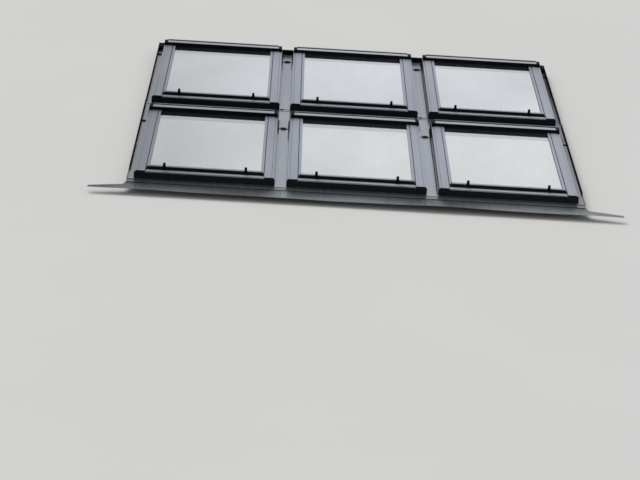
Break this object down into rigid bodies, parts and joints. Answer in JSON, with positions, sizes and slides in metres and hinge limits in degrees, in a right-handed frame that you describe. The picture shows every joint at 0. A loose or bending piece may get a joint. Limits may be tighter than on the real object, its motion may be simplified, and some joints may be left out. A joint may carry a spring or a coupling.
{
  "type": "six-light roof window",
  "caption": "Bank of centre-pivot roof windows in two rows, with timber frames, grey sheet covers, hoods at the heads, shared channel flashing and a pleated apron.",
  "frame": {"origin": "centre of the bank's outline, at the underside of the timber frames", "axes": "+X across the slope to the right, +Y up the slope, +Z square out of the roof"},
  "size_m": [3.646, 3.32, 0.161],
  "materials": {
    "timber": "satin",
    "glass": "gloss",
    "spacer_metal": "satin",
    "seal": "matte",
    "cover_metal": "satin",
    "hood_metal": "satin",
    "flashing_metal": "satin",
    "apron_metal": "satin",
    "skirt_metal": "matte",
    "black_metal": "satin",
    "black_plastic": "satin",
    "seal_rubber": "matte",
    "corner_metal": "satin",
    "bar_metal": "brushed",
    "zinc_steel": "satin"
  },
  "bodies": {
    "root": {"apron_flashing": "apron_metal", "apron_skirt": "skirt_metal", "control_bars": "bar_metal", "corner_pieces": "corner_metal", "cover_hooks": "black_plastic", "flashing_clips": "black_plastic", "glazing_gaskets": "seal", "gutter_seals": "seal_rubber", "head_flashing": "flashing_metal", "left_side_flashing": "flashing_metal", "lower_channel_pans": "flashing_metal", "lower_frame_angles": "flashing_metal", "lower_frame_foot_covers": "black_metal", "lower_frame_rails": "timber", "lower_frame_side_covers": "cover_metal", "lower_frame_stiles": "timber", "lower_glazing_bars": "black_metal", "lower_hood_noses": "black_plastic", "lower_hoods": "hood_metal", "lower_inner_panes": "glass", "lower_outer_panes": "glass", "lower_sash_covers": "cover_metal", "lower_sash_foot_covers": "cover_metal", "lower_sash_rails": "timber", "lower_sash_stiles": "timber", "mounting_brackets": "zinc_steel", "pane_spacers": "spacer_metal", "pivot_hinges": "zinc_steel", "right_side_flashing": "flashing_metal", "row_pans": "flashing_metal", "upper_channel_pans": "flashing_metal", "upper_frame_angles": "flashing_metal", "upper_frame_foot_covers": "black_metal", "upper_frame_rails": "timber", "upper_frame_side_covers": "cover_metal", "upper_frame_stiles": "timber", "upper_glazing_bars": "black_metal", "upper_hood_noses": "black_plastic", "upper_hoods": "hood_metal", "upper_inner_panes": "glass", "upper_outer_panes": "glass", "upper_sash_covers": "cover_metal", "upper_sash_foot_covers": "cover_metal", "upper_sash_rails": "timber", "upper_sash_stiles": "timber"}
  },
  "joints": []
}
